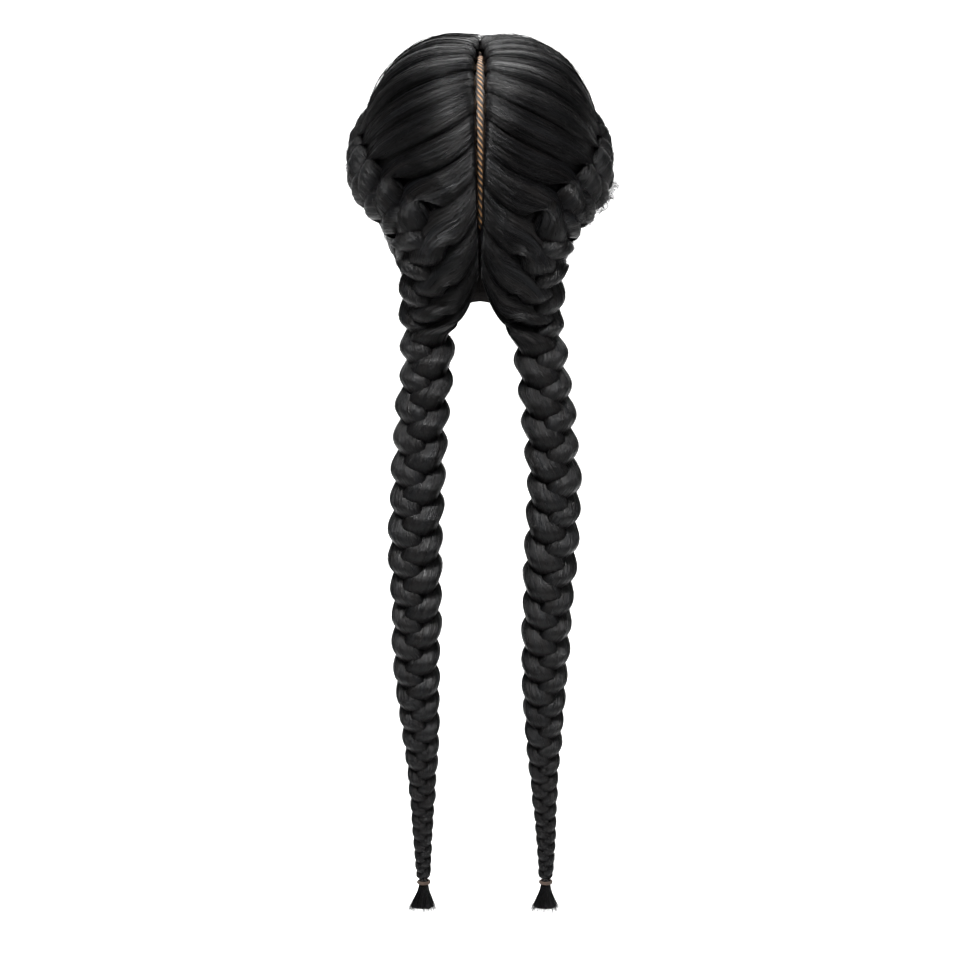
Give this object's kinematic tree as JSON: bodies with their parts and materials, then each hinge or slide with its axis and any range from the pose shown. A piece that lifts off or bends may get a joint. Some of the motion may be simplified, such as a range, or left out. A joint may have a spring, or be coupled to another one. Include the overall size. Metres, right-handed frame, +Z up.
{
  "type": "braid wig",
  "caption": "Black wig with a centre parting, locks swept into a Dutch braid on each side, and two long hanging three-strand braids ending in tied tassels, on an open head cap.",
  "frame": {"origin": "Inner crown of the cap, where the top of the wearer's head bears.", "axes": "+Z up, the face side towards -Y, the back of the head towards +Y, the wearer's left towards +X."},
  "size_m": [0.2316, 0.2285, 0.77],
  "materials": {
    "hair": "glossy black synthetic hair",
    "cap_net": "dark stretch net",
    "parting_lace": "tan lace with stitches",
    "elastic": "matt dark elastic"
  },
  "bodies": {
    "root": {"cap": "cap_net", "parting_lace": "parting_lace", "swept_lock_left_1": "hair", "swept_lock_left_2": "hair", "swept_lock_left_3": "hair", "swept_lock_left_4": "hair", "swept_lock_left_5": "hair", "swept_lock_left_6": "hair", "swept_lock_left_7": "hair", "swept_lock_left_8": "hair", "swept_lock_left_9": "hair", "swept_lock_left_10": "hair", "swept_lock_left_11": "hair", "swept_lock_left_12": "hair", "swept_lock_left_13": "hair", "side_lock_left_1": "hair", "side_lock_left_2": "hair", "side_lock_left_3": "hair", "side_lock_left_4": "hair", "side_lock_left_5": "hair", "side_lock_left_6": "hair", "crown_braid_left": "hair", "hanging_braid_left": "hair", "elastic_tie_left": "elastic", "tassel_left": "hair", "swept_lock_right_1": "hair", "swept_lock_right_2": "hair", "swept_lock_right_3": "hair", "swept_lock_right_4": "hair", "swept_lock_right_5": "hair", "swept_lock_right_6": "hair", "swept_lock_right_7": "hair", "swept_lock_right_8": "hair", "swept_lock_right_9": "hair", "swept_lock_right_10": "hair", "swept_lock_right_11": "hair", "swept_lock_right_12": "hair", "swept_lock_right_13": "hair", "side_lock_right_1": "hair", "side_lock_right_2": "hair", "side_lock_right_3": "hair", "side_lock_right_4": "hair", "side_lock_right_5": "hair", "side_lock_right_6": "hair", "crown_braid_right": "hair", "hanging_braid_right": "hair", "elastic_tie_right": "elastic", "tassel_right": "hair"}
  },
  "joints": []
}
